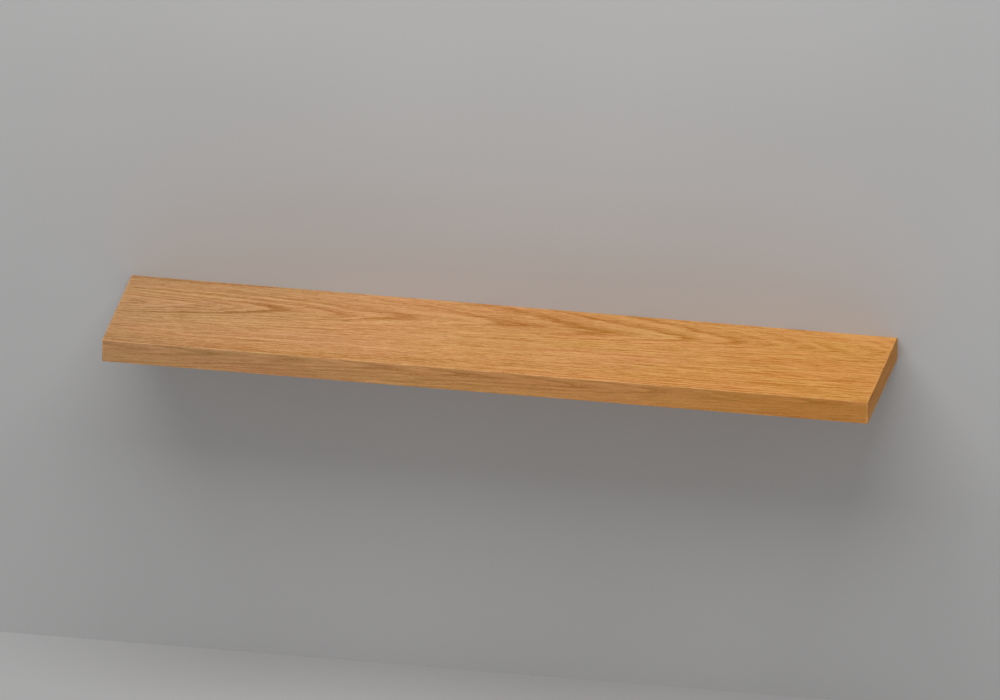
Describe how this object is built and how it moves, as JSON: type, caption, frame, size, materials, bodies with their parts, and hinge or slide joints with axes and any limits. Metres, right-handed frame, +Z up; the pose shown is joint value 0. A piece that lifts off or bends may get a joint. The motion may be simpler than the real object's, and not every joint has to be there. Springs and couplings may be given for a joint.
{
  "type": "floating wall shelf",
  "caption": "Long, thin, oak-veneered board shelf that slides onto the rods of a steel bracket hidden behind it.",
  "frame": {"origin": "middle of the wall plate's rear face, which lies on the wall with the shelf's back edges", "axes": "+X along the shelf, to the right when it is seen from the front; +Y into the wall; +Z up"},
  "size_m": [1, 0.2, 0.03],
  "materials": {
    "oak_veneer": "satin",
    "oak_band": "satin",
    "fibreboard": "matte",
    "timber": "matte",
    "core_paper": "matte",
    "bracket_steel": "satin",
    "screw_steel": "satin",
    "brass": "satin"
  },
  "bodies": {
    "bracket": {"wall_plate": "bracket_steel", "left_support_rod": "bracket_steel", "centre_support_rod": "bracket_steel", "right_support_rod": "bracket_steel"},
    "shelf": {"top_veneer": "oak_veneer", "top_skin": "fibreboard", "bottom_skin": "fibreboard", "bottom_veneer": "oak_veneer", "front_edge_band": "oak_band", "left_edge_band": "oak_band", "right_edge_band": "oak_band", "front_rail": "timber", "left_end_rail": "timber", "right_end_rail": "timber", "rear_rail": "timber", "left_rod_block": "timber", "centre_rod_block": "timber", "right_rod_block": "timber", "honeycomb_1": "core_paper", "honeycomb_2": "core_paper", "honeycomb_3": "core_paper", "honeycomb_4": "core_paper", "left_threaded_insert": "brass", "right_threaded_insert": "brass"},
    "left_lock": {"left_locking_screw": "screw_steel"},
    "right_lock": {"right_locking_screw": "screw_steel"}
  },
  "joints": [
    {"name": "shelf_slide", "type": "slide", "parent": "bracket", "child": "shelf", "axis": [0, -1, 0], "range_m": [0, 0.16]},
    {"name": "left_lock_travel", "type": "slide", "parent": "shelf", "child": "left_lock", "axis": [0, 0, -1], "range_m": [0, 0.003]},
    {"name": "right_lock_travel", "type": "slide", "parent": "shelf", "child": "right_lock", "axis": [0, 0, -1], "range_m": [0, 0.003]}
  ]
}
